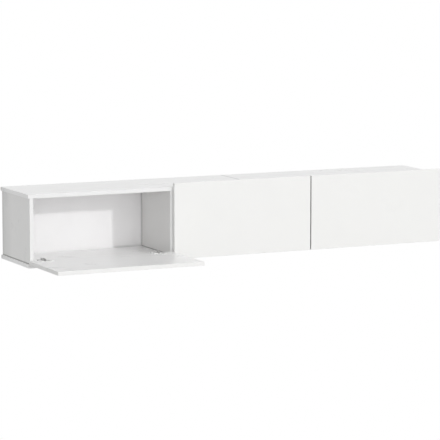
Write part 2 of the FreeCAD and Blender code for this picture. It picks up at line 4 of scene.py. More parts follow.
import bmesh
import bpy
import numpy as np
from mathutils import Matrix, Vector


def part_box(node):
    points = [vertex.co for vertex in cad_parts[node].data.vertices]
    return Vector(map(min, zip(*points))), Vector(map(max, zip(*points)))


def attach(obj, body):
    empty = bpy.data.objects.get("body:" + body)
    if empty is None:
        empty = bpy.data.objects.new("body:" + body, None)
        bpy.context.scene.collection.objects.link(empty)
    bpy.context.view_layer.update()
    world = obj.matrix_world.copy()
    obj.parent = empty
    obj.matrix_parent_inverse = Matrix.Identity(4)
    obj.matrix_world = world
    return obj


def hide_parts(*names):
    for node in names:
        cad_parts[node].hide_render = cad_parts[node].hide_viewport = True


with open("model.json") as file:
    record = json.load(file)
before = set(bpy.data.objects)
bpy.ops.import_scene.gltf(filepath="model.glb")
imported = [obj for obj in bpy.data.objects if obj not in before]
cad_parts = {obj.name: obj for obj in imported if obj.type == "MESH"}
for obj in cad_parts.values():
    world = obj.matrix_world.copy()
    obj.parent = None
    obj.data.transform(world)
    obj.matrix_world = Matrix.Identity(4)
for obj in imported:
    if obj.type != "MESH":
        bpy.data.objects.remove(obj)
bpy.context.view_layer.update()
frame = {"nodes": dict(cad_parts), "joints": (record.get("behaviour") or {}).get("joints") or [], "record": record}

# Looks of a white wall-hung media console with three drop-down flaps. Metres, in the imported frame:
# X along the console, Y = 0 the wall, the front faces -Y, Z up.
# A side-view place is a pair (y, z); a place on a flap is (height above its lower edge, depth
# under its inner face).

nodes = frame["nodes"]
joints = {joint["name"]: joint for joint in frame["joints"]}
slots = {entry["node"]: entry["material_slot"] for entry in frame["record"]["subparts"]}
FLAPS = ("left", "middle", "right")
OPEN_FLAP = "left"
UPRIGHTS = ("side_panel", "partition", "centre_panel")

# ---------------------------------------------------------------- view
IMAGE_SIDE = 440.0
FOCAL_PIXELS = 2408.3
SENSOR_WIDTH = 36.0
CAMERA_PLACE = (-4.1504, -8.7731, 1.1572)
CAMERA_YAW = math.radians(25.571)
CAMERA_PITCH = math.radians(7.484)

# ---------------------------------------------------------------- light
KEY_TRAVEL = (-0.4545, 1.0, -0.3576)
KEY_STRENGTH = 0.71
KEY_ANGLE = math.radians(2.4)
EVEN_LIGHT = 0.39
# azimuth from the front towards +X, elevation, strength
SOFT_BOXES = ((-6.0, 0.0, 2.46), (75.0, 40.0, 0.45), (0.0, 90.0, 0.85))
SPREAD = 8.0
FLOOR_HEIGHT = -1.1
FLOOR_SIDE = 24.0
FLOOR_ALBEDO = 0.75

# ---------------------------------------------------------------- sizes of the fittings
CUP_RADIUS = 0.0175
CUP_DEPTH = 0.012
CUP_STEEL = 0.0009
CUP_CENTRE = 0.021             # above the flap's lower edge
CUP_CORNER = 0.002
CUP_POLE = 0.0004              # radius of the flat at the middle of the bowl's rings
WORN = 0.3                     # a round corner's middle, as a share of its size
FLANGE_STEEL = 0.0008
FLANGE_RADIUS = 0.0186
FLANGE_CUT = 0.013             # the flange starts at this height on the flap
WING_REACH = 0.024
WING_RISE = 0.006
WING_RADIUS = 0.0066
OUTER_PIN = (0.0105, 0.0036)   # place on the flap
INNER_PIN = (0.0148, 0.0063)
PIN_RADIUS = 0.00125
INNER_HALF = 0.0032            # half the width of the inner link
LAYER_GAP = 0.0003
LAP = 0.0002                   # how far welded pieces reach into each other
ARM_STEEL = 0.0015
LINK_STEEL = 0.0015
LUG_STEEL = 0.0012
LUG_FOOT = 1.3                 # half the lug's foot, as a share of its eye
STRAP_HALF = 0.0014
ARM_EYE = 0.0030
TIP_EYE = 0.0025
LINK_EYE = 0.0023
LINE_STEPS = 49                # points on a strap's line, before and after its corners are worn
LINE_WEAR = 12
STRAP_STEPS = 45
EDGE_ROUND = 0.00015           # rounding of the pressed links and arms
OUTER_BENDS = ((0.0070, 0.0042), (-0.0042, 0.0052))   # along and beside the line of the pivots
INNER_BOW = 0.0032
WEB_SPAN = (0.0070, 0.0150)
WEB_SIDE = -0.0034
WEB_STEEL = 0.0012
ARM_HALF = INNER_HALF + LAYER_GAP + ARM_STEEL
OUTER_IN = ARM_HALF + LAYER_GAP
OUTER_OUT = OUTER_IN + LINK_STEEL
LUG_IN = OUTER_OUT + LAYER_GAP
ARM_RISE = 0.027               # front edges to where the arm leaves its plate
ARM_SKIRT = 0.004
ARM_ROOF = 0.001
CLAMP_BEHIND_FRONT = 0.052
CLAMP_HALF = 0.0015
PLATE_BASE = 0.002
PLATE_CORNER = 0.002
PLATE_EDGE = 0.0004
WING_ROW = 0.037               # front edges to the row of the plate's wing screws
WING_HALF = 0.006
WING_SCREW = 0.016             # hinge middle to each wing screw
BOSS_RADIUS = 0.0052
BOSS_EDGE = 0.0003
PIN_CROWN = 0.25               # length of a pin's worn end, as a share of its radius
PIN_TIP = 0.6                  # radius at the very end, as a share
CAM_FACE = 0.0022              # thickness of a cam's visible face
CAM_BRIM = 1.02                # radius of the face and of the wall, as shares of the bore's
CAM_BODY = 0.98
CAM_STEPS = 25
CAM_CROSS = (0.12, 0.5)        # a recess: half width and reach, as shares of the radius
CAM_LIP = 0.0002               # the face stands this far out of its bore
CAM_WALL = 0.0014
CAM_MOUTH = math.radians(38.0)  # half the opening in a cam's wall
RECESS_SLOPE = 0.00015
FACE_LINES = (0.8, 0.93, 1.0, 1.0)  # grid lines outside a recess, the edge twice
SCREW_CROSS = (0.13, 0.55)
RECESS_DEPTH = 0.7             # as a share of the head's or the face's thickness
HEAD_RIM = 0.4                 # height of a screw head's edge, as a share of its height
THREAD_CORE = 0.42             # as a share of the head's radius
THREAD_ROOT = 0.8              # as a share of the thread's radius
THREAD_TURN = 0.0012
THREAD_TIP = 0.4               # most of a screw's length that its point takes up
THREAD_POINT = 0.2             # radius at the point, as a share of the thread's
PLATE_HEAD = 0.0018            # heights of the screw heads
ARM_HEAD = 0.002
HANGER_HEAD = 0.0018
CUP_HEAD = 0.0014
# cam bolts: distance from the tip and radius; then distance back from the head's end, with a
# radius or a share of the head's radius
STUD_TIP = 0.0008
STUD_THREAD = np.linspace(0.0005, 0.0105, 17)
STUD_ROOT = 0.0021
STUD_CREST = 0.0026
STUD_COLLAR = ((0.0112, 0.003), (0.0125, 0.003), (0.0128, STUD_ROOT))
STUD_NECK = ((0.0052, STUD_ROOT), (0.0048, 0.0015), (0.0026, 0.0015))
STUD_HEAD = ((0.002, 0.95), (0.0008, 1.0), (0.0, 0.6))
STUD_HEAD_RADIUS = 0.66        # as a share of the solid's width
DOWEL_CHAMFER = 0.001
FLUTES = 16
FLUTE_DEPTH = 0.015            # as a share of the radius
SCREW_SIDES = 12
PIN_SIDES = 20
STUD_SIDES = 16
SLEEVE_SIDES = 24
BOSS_SIDES = 28
CUP_SIDES = 144
CORNER_STEPS = 7
TIP_STEPS = 11
LUG_STEPS = 13
SHARP_ANGLE = math.radians(35)
SLEEVE_HEAD = 0.0025
SLEEVE_CHAMFER = 0.0006
SLEEVE_RADIUS = 0.0038
SOCKET_HALF = 0.002            # middle to a flat of the hexagon
SOCKET_DEPTH = 0.8             # as a share of the head


# ---------------------------------------------------------------- surfaces
def around(count):
    """Angles of `count` points round a full turn."""
    return np.arange(count) * 2 * np.pi / count


def axes(along):
    """Unit vector along an axis and two unit vectors across it."""
    axis = np.asarray(along, float) / np.linalg.norm(along)
    p = np.cross(axis, (0.0, 1.0, 0.0) if abs(axis[2]) > 0.5 else (0.0, 0.0, 1.0))
    p /= np.linalg.norm(p)
    return axis, p, np.cross(axis, p)


class Shell:
    """Closed surfaces of one piece, kept as arrays until they become its mesh."""

    def __init__(self):
        self.points = []
        self.quads = []
        self.caps = []
        self.count = 0

    def keep(self, points, quads, caps):
        """Adds a grid of points with its quads and its many-sided caps."""
        self.points.append(points.reshape(-1, 3))
        self.quads.append(quads + self.count)
        self.caps += [(cap + self.count).tolist() for cap in caps]
        self.count += points.size // 3

    def stack(self, rings, loop=False):
        """Rings of equally many points: each point is joined to its neighbours on its own ring and
        on the next. The first and last ring are filled, or joined to each other in a loop."""
        levels, size = rings.shape[:2]
        last = levels if loop else levels - 1
        level, turn = np.meshgrid(np.arange(last), np.arange(size), indexing="ij")
        onward = (turn + 1) % size
        above = (level + 1) % levels
        quads = np.stack([level * size + turn, level * size + onward,
                          above * size + onward, above * size + turn], axis=-1).reshape(-1, 4)
        ends = [] if loop else [np.arange(size), np.arange(size) + (levels - 1) * size]
        self.keep(rings, quads, ends)

    def prism(self, x0, x1, outline):
        """Side-view outline carried along X: (x, y, z) with x at x0 and x1, (y, z) on the outline."""
        ring = np.asarray(outline, float)
        self.stack(np.array([np.column_stack([np.full(len(ring), x), ring]) for x in (x0, x1)]))

    def plate(self, outline, levels):
        """Plan outline stacked at pairs (inset, height): (x, y, height), with (x, y) on the outline
        drawn in by the inset."""
        rings = []
        for inset, height in levels:
            x, y = outline(inset)
            rings.append(np.column_stack([x, y, np.full(len(x), height)]))
        self.stack(np.array(rings))

    def turned(self, base, along, profile, sides=24, swell=None):
        """Profile of pairs (distance a along the axis, radius r) turned about the axis:
        base + a * along + r * swell(t) * (cos t * p + sin t * q)."""
        axis, p, q = axes(along)
        t = around(sides)
        spoke = np.cos(t)[:, None] * p + np.sin(t)[:, None] * q
        if swell is not None:
            spoke = spoke * swell(t)[:, None]
        a, r = np.asarray(profile, float).T
        self.stack(np.asarray(base, float) + a[:, None, None] * axis + r[:, None, None] * spoke)

    def cross_face(self, base, along, radius, rim, rise, recess):
        """Round face with a cross recess. A square grid (u, v) is bent to a disc by
        x = u * sqrt(1 - v*v/2), y = v * sqrt(1 - u*u/2). Its height is
        rim + rise * sqrt(1 - r**4), less the recess inside the cross, and 0 on its doubled edge."""
        half, reach, depth = recess
        slope = RECESS_SLOPE / radius
        steps = np.array([half, half + slope, reach, reach + slope, *FACE_LINES])
        lines = np.concatenate([-steps[::-1], steps])
        u, v = np.meshgrid(lines, lines, indexing="ij")
        x = u * np.sqrt(1 - v * v / 2)
        y = v * np.sqrt(1 - u * u / 2)
        cross = ((np.minimum(np.abs(u), np.abs(v)) <= half)
                 & (np.maximum(np.abs(u), np.abs(v)) <= reach))
        height = rim + rise * np.sqrt(np.clip(1 - (x * x + y * y) ** 2, 0, 1)) - depth * cross
        height[[0, -1], :] = 0
        height[:, [0, -1]] = 0
        axis, p, q = axes(along)
        points = (np.asarray(base, float) + height[..., None] * axis
                  + radius * (x[..., None] * p + y[..., None] * q))
        size = len(lines)
        row = np.arange(size - 1)
        first = (row[:, None] * size + row).ravel()
        quads = np.stack([first, first + 1, first + size + 1, first + size], axis=-1)
        edge = np.concatenate([row, row * size + size - 1,
                               size * size - 1 - row, (size - 1 - row) * size])
        self.keep(points, quads, [edge])


def piece(name, shell, body, slot, replaced, bevel=0.0, finish=None):
    """Mesh of a shell: doubles merged, faces turned outwards, edges sharp above SHARP_ANGLE."""
    mesh = bpy.data.meshes.new(name)
    mesh.from_pydata(np.concatenate(shell.points), [], np.concatenate(shell.quads).tolist() + shell.caps)
    work = bmesh.new()
    work.from_mesh(mesh)
    bmesh.ops.remove_doubles(work, verts=work.verts, dist=1e-6)
    bmesh.ops.dissolve_degenerate(work, edges=work.edges, dist=1e-7)
    bmesh.ops.recalc_face_normals(work, faces=work.faces)
    work.to_mesh(mesh)
    work.free()
    mesh.shade_smooth()
    mesh.set_sharp_from_angle(angle=SHARP_ANGLE)
    mesh.materials.append(finishes[finish or slot])
    made = bpy.data.objects.new(name, mesh)
    bpy.context.scene.collection.objects.link(made)
    if bevel:
        rounding = made.modifiers.new("rounding", "BEVEL")
        rounding.width = bevel
        rounding.segments = 2
        rounding.limit_method = "ANGLE"
        rounding.harden_normals = True
    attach(made, body)
    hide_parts(*replaced)


def solids(name):
    """Lowest and highest corner of each separate solid of a node. Every corner starts with a
    label of its own, and the triangles hand their least label round until nothing changes."""
    mesh = nodes[name].data
    points = np.empty(len(mesh.vertices) * 3)
    mesh.vertices.foreach_get("co", points)
    corners = np.empty(len(mesh.loops), dtype=int)
    mesh.loops.foreach_get("vertex_index", corners)
    places, same = np.unique(points.reshape(-1, 3).round(6), axis=0, return_inverse=True)
    triangles = same.ravel()[corners].reshape(-1, 3)
    labels = np.arange(len(places))
    settled = False
    while not settled:
        spread = labels.copy()
        least = labels[triangles].min(axis=1)
        for corner in range(3):
            np.minimum.at(spread, triangles[:, corner], least)
        settled = bool((spread == labels).all())
        labels = spread
    return [(places[labels == label].min(axis=0), places[labels == label].max(axis=0))
            for label in np.unique(labels)]


# ---------------------------------------------------------------- shader building
class Expression:
    """A shader socket that takes part in sums, products and comparisons like a number."""

    def __init__(self, shader, socket):
        self.shader = shader
        self.socket = socket

    def maths(self, operation, *values):
        return self.shader.node("ShaderNodeMath", {"operation": operation}, values)

    def __add__(self, other):
        return self.maths("ADD", self, other)

    def __sub__(self, other):
        return self.maths("SUBTRACT", self, other)

    def __rsub__(self, other):
        return self.maths("SUBTRACT", other, self)

    def __mul__(self, other):
        return self.maths("MULTIPLY", self, other)

    def __abs__(self):
        return self.maths("ABSOLUTE", self)

    def __pow__(self, other):
        return self.maths("POWER", self, other)

    def above(self, edge):
        return self.maths("GREATER_THAN", self, edge)

    def below(self, edge):
        return self.maths("LESS_THAN", self, edge)

    def smaller(self, other):
        return self.maths("MINIMUM", self, other)

    def larger(self, other):
        return self.maths("MAXIMUM", self, other)

    def ramp(self, low, high, to_low=0.0, to_high=1.0):
        """Straight ramp from to_low at low to to_high at high, flat outside."""
        return self.shader.node("ShaderNodeMapRange", {}, (self, low, high, to_low, to_high))


class Shader:
    """The node tree of a material or world."""

    def __init__(self, owner):
        owner.use_nodes = True
        self.tree = owner.node_tree
        self.tree.nodes.clear()

    def node(self, kind, settings=None, values=(), out=0):
        """A node of that kind: its settings, then the values or links of its sockets, given in
        their order or by name. Gives back the output `out`."""
        made = self.tree.nodes.new(kind)
        for key, value in (settings or {}).items():
            setattr(made, key, value)
        pairs = values.items() if isinstance(values, dict) else enumerate(values)
        for key, value in pairs:
            if isinstance(value, Expression):
                self.tree.links.new(value.socket, made.inputs[key])
            else:
                made.inputs[key].default_value = value
        return Expression(self, made.outputs[out] if made.outputs else None)

    def parts(self, vector):
        """The three numbers of a vector."""
        split = self.node("ShaderNodeSeparateXYZ", {}, (vector,)).socket.node
        return [Expression(self, socket) for socket in split.outputs]

    def place(self):
        return self.node("ShaderNodeTexCoord", out="Object")

    def facing(self):
        """The three numbers of the direction that a surface faces."""
        return self.parts(self.node("ShaderNodeNewGeometry", out="Normal"))

    def mix(self, factor, first, second):
        """Colour between first at 0 and second at 1."""
        first, second = [c if isinstance(c, Expression) else (*c, 1.0) for c in (first, second)]
        values = {"Factor": factor, 6: first, 7: second}
        return self.node("ShaderNodeMix", {"data_type": "RGBA"}, values, 2)

    def noise(self, scale, detail=2.0, place=None):
        values = {"Vector": place or self.place(), "Scale": scale, "Detail": detail}
        return self.node("ShaderNodeTexNoise", {}, values)

    def stretched(self, scale):
        """Object coordinates scaled along each axis."""
        return self.node("ShaderNodeMapping", {}, {"Vector": self.place(), "Scale": scale})

    def relief(self, height, depth):
        """Normal of a surface whose height, from 0 to 1, stands for `depth` metres."""
        return self.node("ShaderNodeBump", {}, {"Strength": 1.0, "Distance": depth, "Height": height})


def surface(name, look, **constants):
    """Material with one Principled shader; `look` gives its colour, roughness, relief and depth."""
    material = bpy.data.materials.new(name)
    shader = Shader(material)
    colour, roughness, height, depth = look(shader)
    values = {"Base Color": colour, "Roughness": roughness, "Normal": shader.relief(height, depth)}
    made = shader.node("ShaderNodeBsdfPrincipled", {}, values | constants)
    shader.node("ShaderNodeOutputMaterial", {}, (made,))
    return material


# ---------------------------------------------------------------- finishes
# TOP_WHITE and BOARD_WHITE are one foil in two tones: the top face darker as painted shade, the bay floor and
# undersides lighter as painted light
TOP_WHITE = (0.935, 0.935, 0.933)
BOARD_WHITE = (0.985, 0.985, 0.983)
FOIL_WHITE = (0.91, 0.91, 0.907)
# whites for the uprights' faces turned to -X, away from the key: painted shade, slight on the side panels, strong
# on the partitions
SIDE_SHADE_WHITE = (0.89, 0.89, 0.88)
PARTITION_SHADE_WHITE = (0.81, 0.805, 0.795)
EDGE_WHITE = (0.84, 0.84, 0.837)
LACQUER_WHITE = (0.884, 0.883, 0.869)
# upper band of the closed flaps, lighter as painted light
LIT_BAND_WHITE = (0.97, 0.97, 0.965)
GLUE_LINE = (0.62, 0.61, 0.59)
# dark of the seam between the two boxes, and of all the painted shade
SEAM_AND_SHADE_DARK = (0.10, 0.10, 0.095)
CHIP_DARK = (0.30, 0.20, 0.12)
CHIP_LIGHT = (0.58, 0.44, 0.28)
BACK_WHITE = (0.925, 0.916, 0.92)
BROWN_DARK = (0.20, 0.11, 0.055)
BROWN_LIGHT = (0.30, 0.18, 0.10)
BEECH_LIGHT = (0.62, 0.42, 0.25)
BEECH_DARK = (0.45, 0.28, 0.15)
BAND = 0.001                   # thickness of an edge band
GLUE_HALF = 0.00012
GLUE_STRENGTH = 0.35
CLOUD = 0.02                   # how much darker a white finish is at the middle of a cloud
CLOUD_SCALE = 9.0              # patterns: features per metre, and the noise spread over 0 to 1
CLOUD_SPAN = (0.3, 0.7)
SPECK_SCALE = 1400.0
SPECK_SPAN = (0.35, 0.65)
SPECK_SHARE = 0.4
PEEL_SCALE = 900.0
FLAKE_SCALE = 700.0
FLAKE_STRETCH = (0.35, 1.0, 1.0)
FOIL_ROUGHNESS = (0.27, 0.285)
SPECK_ROUGHNESS = 0.01
SEAM_HALF = 0.0018             # half the dark line where the two boxes meet
SEAM_STRENGTH = 0.85
GAP_HALF = 0.0022              # painted shade on both flaps' sides, reaching them from the middle of their gap
GAP_STRENGTH = 0.5
UNDER_LINE = (0.0012, 0.0050)  # painted shade line over the bottom board: full and faded height
OVER_LINE = (0.0004, 0.0030)   # the same under the top board
BACK_LINE = (0.0010, 0.0070)   # the same where the back panels meet the uprights
FOOT_LINE = (0.0025, 0.0110)   # the same along the foot of the back panels
FOOT_RISE = (-0.445, -0.425)   # X over which the painted shade along the foot grows stronger, beyond the key's lit patch
FOOT_SHARES = (0.15, 0.7)
OVER_SHARE = 0.6               # strength of the lines, against the one over the bottom board
BACK_SHARE = 0.4
UPRIGHT_STRENGTH = 0.8
BACK_STRENGTH = 0.35
WALL_SHADE = ((0.0, 0.11, 0.18), (0.010, 0.018, 0.12))   # painted shade of the wall on the ends: full and faded depth, strength
RAW_EDGE = -0.0004
RELIEF = 0.00002
FELT_SCALE = 12.0              # back panels: the felt's clouds, the brown fibres and the grain
FIBRE_SCALE = 500.0
BOARD_GRAIN = 1800.0
BOARD_RELIEF = 0.00003
BOARD_ROUGHNESS = (0.5, 0.6)
TARNISH_SCALE = 220.0          # clouds in the plating
TARNISH_GLOSS = (-0.06, 0.08)  # added to a metal's roughness at their edge and middle
FLECK_SCALE = 1500.0
FLECK_STRETCH = (1.0, 1.0, 0.15)
FLECK_ROUGHNESS = (0.62, 0.74)
FLECK_RELIEF = 0.00004
# metals: bright and dull colour, roughness, grain per metre, relief
METALS = {
    "zinc_plated_steel": ((0.72, 0.73, 0.75), (0.60, 0.61, 0.64), 0.38, 3000.0, 0.00002),
    "nickel_plated_steel": ((0.82, 0.817, 0.81), (0.74, 0.737, 0.73), 0.36, 2500.0, 0.00001),
    "hinge_steel": ((0.42, 0.42, 0.415), (0.34, 0.34, 0.335), 0.34, 2500.0, 0.00001),
    "die_cast_zinc": ((0.88, 0.88, 0.88), (0.80, 0.80, 0.80), 0.38, 1800.0, 0.00002),
    "plated_fasteners": ((0.90, 0.90, 0.90), (0.82, 0.82, 0.82), 0.25, 2500.0, 0.00001),
}

board_low, board_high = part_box("top_board_left")
upright_low, upright_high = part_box("side_panel_left")
back_low, back_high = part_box("back_panel_left")
row_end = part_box("top_board_right")[1].x
gap_middle = (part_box("middle_flap_panel")[1].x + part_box("right_flap_panel")[0].x) / 2
upright_boxes = [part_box(name) for name in nodes if name.startswith(UPRIGHTS)]


def foil(shader):
    """Foil: a faint cloudiness in tone and gloss, fine specks and an orange peel."""
    cloud = shader.noise(CLOUD_SCALE, 3.0).ramp(*CLOUD_SPAN)
    speck = shader.noise(SPECK_SCALE, 1.0).ramp(*SPECK_SPAN)
    tone = cloud * (1 - SPECK_SHARE) + speck * SPECK_SHARE
    roughness = cloud.ramp(0.0, 1.0, *FOIL_ROUGHNESS) + speck * SPECK_ROUGHNESS
    return tone, roughness, shader.noise(PEEL_SCALE)


def clouded(shader, tone, white):
    """A white that turns a little greyer with the tone."""
    return shader.mix(tone, white, [level * (1 - CLOUD) for level in white])


def fading(distance, full, gone):
    """1 up to the distance `full`, falling to 0 at `gone`."""
    return distance.ramp(full, gone, 1.0, 0.0)


def near_wall(y):
    """Painted shade on an end of the console: how much it darkens towards the wall."""
    depth = 0.0 - y
    wide, narrow = [fading(depth, full, gone) * strength for full, gone, strength in WALL_SHADE]
    return wide + narrow


def chipboard(shader):
    """Sawn chipboard: pressed flakes from light to dark."""
    values = {"Vector": shader.stretched(FLAKE_STRETCH), "Scale": FLAKE_SCALE}
    flakes = shader.node("ShaderNodeTexVoronoi", {}, values, "Color")
    return shader.mix(shader.node("ShaderNodeSeparateColor", {}, (flakes,)), CHIP_DARK, CHIP_LIGHT)


def glued(shader, inset, face):
    """Face with the glue line of an edge band; `inset` is the distance from the edge."""
    return shader.mix(abs(inset - BAND).below(GLUE_HALF) * GLUE_STRENGTH, face, GLUE_LINE)


def sawn_behind(shader, y, face):
    """Face that turns to bare chipboard at the rear edge."""
    return shader.mix(y.above(RAW_EDGE), face, chipboard(shader))


def long_board_look(shader):
    """Top and bottom boards: foil, darker on the top face and lighter on the other faces as painted light and
    shade, a band with its glue line on the front edges and ends, a raw rear edge, painted shade towards the wall
    on the ends, and a dark line where the two boxes meet."""
    x, y, z = shader.parts(shader.place())
    tone, roughness, peel = foil(shader)
    # painted light and shade: the top face in TOP_WHITE, the other faces in the lighter BOARD_WHITE
    face = shader.mix(z.above(board_high.z - RELIEF), clouded(shader, tone, BOARD_WHITE),
                      clouded(shader, tone, TOP_WHITE))
    facing = shader.facing()
    face = shader.mix(facing[1].below(-0.5), face, EDGE_WHITE)
    # painted shade towards the wall on the board ends
    face = shader.mix(abs(facing[0]).above(0.5) * near_wall(y), face, SEAM_AND_SHADE_DARK)
    face = glued(shader, (y - board_low.y).smaller(row_end - abs(x)), face)
    face = shader.mix(abs(x - board_high.x).below(SEAM_HALF) * SEAM_STRENGTH, face, SEAM_AND_SHADE_DARK)
    return sawn_behind(shader, y, face), roughness, peel, RELIEF


def upright_look(shaded_left_white):
    """Side panels and partitions: foil, darker on faces turned to -X as painted shade, a front band, a raw rear
    edge, soft lines of painted shade where the panel meets the bottom board, the top board and the back panel, and
    painted shade outside towards the wall."""
    def look(shader):
        x, y, z = shader.parts(shader.place())
        tone, roughness, peel = foil(shader)
        facing = shader.facing()
        # painted shade: faces turned to -X take the darker white
        face = shader.mix(facing[0].below(-0.5), clouded(shader, tone, FOIL_WHITE),
                          clouded(shader, tone, shaded_left_white))
        face = shader.mix(facing[1].below(-0.5), face, EDGE_WHITE)
        face = glued(shader, y - board_low.y, face)
        outside = (facing[0] * x).above(row_end / 2)
        # painted shade lines where the upright meets the bottom board, the top board and the back panel
        line = fading(z - upright_low.z, *UNDER_LINE)
        line = line.larger(fading(upright_high.z - z, *OVER_LINE) * OVER_SHARE)
        line = line.larger(fading(back_low.y - y, *BACK_LINE) * (1 - outside) * BACK_SHARE)
        face = shader.mix(line * abs(facing[0]).above(0.5) * UPRIGHT_STRENGTH, face, SEAM_AND_SHADE_DARK)
        # painted shade towards the wall on the outer faces
        face = shader.mix(outside * near_wall(y), face, SEAM_AND_SHADE_DARK)
        return sawn_behind(shader, y, face), roughness, peel, RELIEF

    return look


def flap_look(side):
    """Flap: warm white outside and on its four bands, each with a glue line, and foil inside. The closed flaps
    have an upper band painted lighter as painted light, and painted shade on their sides at the gap between the
    middle and the right flap."""
    low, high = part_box(side + "_flap_panel")
    is_open = side == OPEN_FLAP

    def look(shader):
        x, y, z = shader.parts(shader.place())
        tone, roughness, peel = foil(shader)
        up, up_low, up_high = (y, low.y, high.y) if is_open else (z, low.z, high.z)
        inset = (x - low.x).smaller(high.x - x).smaller(up - up_low).smaller(up_high - up)
        inside = shader.facing()[2 if is_open else 1].above(0.9)
        face = shader.mix(inside, clouded(shader, tone, LACQUER_WHITE), clouded(shader, tone, FOIL_WHITE))
        if not is_open:
            # painted light on the upper band
            face = shader.mix(shader.facing()[2].above(0.5), face, LIT_BAND_WHITE)
            # painted shade on the flaps' sides in their gap
            face = shader.mix(abs(x - gap_middle).below(GAP_HALF) * GAP_STRENGTH, face, SEAM_AND_SHADE_DARK)
        return glued(shader, inset, face), roughness, peel, RELIEF

    return look


def back_look(shader):
    """Thin hardboard: white towards the bay with a faint felt and soft lines of painted shade along the bottom
    board and the uprights, stronger along the foot beyond the key's lit patch, brown towards the wall."""
    x, y, z = shader.parts(shader.place())
    cloud = shader.noise(FELT_SCALE).ramp(*CLOUD_SPAN)
    fibre = shader.noise(FIBRE_SCALE, 3.0).ramp(*CLOUD_SPAN)
    # painted shade lines along the foot and beside the uprights
    line = fading(z - upright_low.z, *FOOT_LINE) * x.ramp(*FOOT_RISE, *FOOT_SHARES)
    for low, high in upright_boxes:
        line = line.larger(fading(abs(x - (low.x + high.x) / 2) - (high.x - low.x) / 2, *BACK_LINE))
    white = shader.mix(line * BACK_STRENGTH, clouded(shader, cloud, BACK_WHITE), SEAM_AND_SHADE_DARK)
    brown = shader.mix(fibre, BROWN_DARK, BROWN_LIGHT)
    at_wall = y.above((back_low.y + back_high.y) / 2)
    roughness = cloud.ramp(0.0, 1.0, *BOARD_ROUGHNESS)
    return shader.mix(at_wall, white, brown), roughness, shader.noise(BOARD_GRAIN), BOARD_RELIEF


def metal_look(bright, dull, rough, grain, depth):
    """Plated metal: cloudy tone and gloss with a fine pressed grain."""
    def look(shader):
        cloud = shader.noise(TARNISH_SCALE, 3.0).ramp(*CLOUD_SPAN)
        roughness = cloud.ramp(0.0, 1.0, *[rough + change for change in TARNISH_GLOSS])
        return shader.mix(cloud, bright, dull), roughness, shader.noise(grain), depth

    return look


def beech_look(shader):
    """Raw beech: short darker flecks."""
    fleck = shader.noise(FLECK_SCALE, 3.0, shader.stretched(FLECK_STRETCH)).ramp(*SPECK_SPAN)
    colour = shader.mix(fleck, BEECH_LIGHT, BEECH_DARK)
    return colour, fleck.ramp(0.0, 1.0, *FLECK_ROUGHNESS), fleck, FLECK_RELIEF


finishes = {
    "white_board": surface("long_board_foil", long_board_look),
    "side_panel": surface("side_panel_foil", upright_look(SIDE_SHADE_WHITE)),
    "partition": surface("partition_foil", upright_look(PARTITION_SHADE_WHITE)),
    "back_board": surface("back_board", back_look),
    "beech": surface("beech", beech_look),
}
for name, values in METALS.items():
    finishes[name] = surface(name, metal_look(*values), Metallic=1.0)
for side in FLAPS:
    finishes[side + "_flap_panel"] = surface(side + "_flap_lacquer", flap_look(side))


def finish_of(name):
    """Finish of a solid: its own, the side panels', the inner uprights', or its slot's."""
    if name in finishes:
        return finishes[name]
    if name.startswith(UPRIGHTS):
        return finishes["side_panel" if name.startswith("side_panel") else "partition"]
    return finishes[slots[name]]


for name, solid in nodes.items():
    solid.data.materials.clear()
    solid.data.materials.append(finish_of(name))


# ---------------------------------------------------------------- screws, pins and corner fittings
def pan_screw(shell, low, high, axis, way, head_height):
    """Cross-headed screw in the box of its solid; its head faces `way` (+1 or -1) along the axis.
    The shank's radius goes back and forth between the thread and its root, down to a point."""
    along = np.zeros(3)
    along[axis] = way
    radius = np.delete(high - low, axis).max() / 2
    length = (high - low)[axis] - head_height
    seat = (low + high) / 2
    seat[axis] = (high if way > 0 else low)[axis] - way * head_height
    shell.cross_face(seat, along, radius, HEAD_RIM * head_height, (1 - HEAD_RIM) * head_height,
                     (*SCREW_CROSS, RECESS_DEPTH * head_height))
    core = radius * THREAD_CORE
    tip = min(2 * core, THREAD_TIP * length)
    turns = np.linspace(-LAP, length - tip, 2 * int(length / THREAD_TURN) + 2)
    ridge = np.where(np.arange(len(turns)) % 2, 1.0, THREAD_ROOT)
    profile = [(-a, core * r) for a, r in zip(turns, ridge)] + [(-length, THREAD_POINT * core)]
    shell.turned(seat, along, profile, SCREW_SIDES)


def rivet(shell, x0, x1, place, radius):
    """Pin along X: a constant radius, drawn in to PIN_TIP of it at both ends."""
    crown = radius * PIN_CROWN
    end = x1 - x0
    profile = [(0.0, PIN_TIP * radius), (crown, radius), (end - crown, radius), (end, PIN_TIP * radius)]
    shell.turned((x0, *place), (1.0, 0.0, 0.0), profile, PIN_SIDES)


def upright_at(x):
    """Lowest and highest corner of the upright that stands at x."""
    return next(box for box in upright_boxes if box[0].x < x < box[1].x)


def towards_end(low, high):
    """+1 for a fitting near the top board, -1 for one near the bottom board."""
    return 1.0 if low[2] + high[2] > upright_low.z + upright_high.z else -1.0


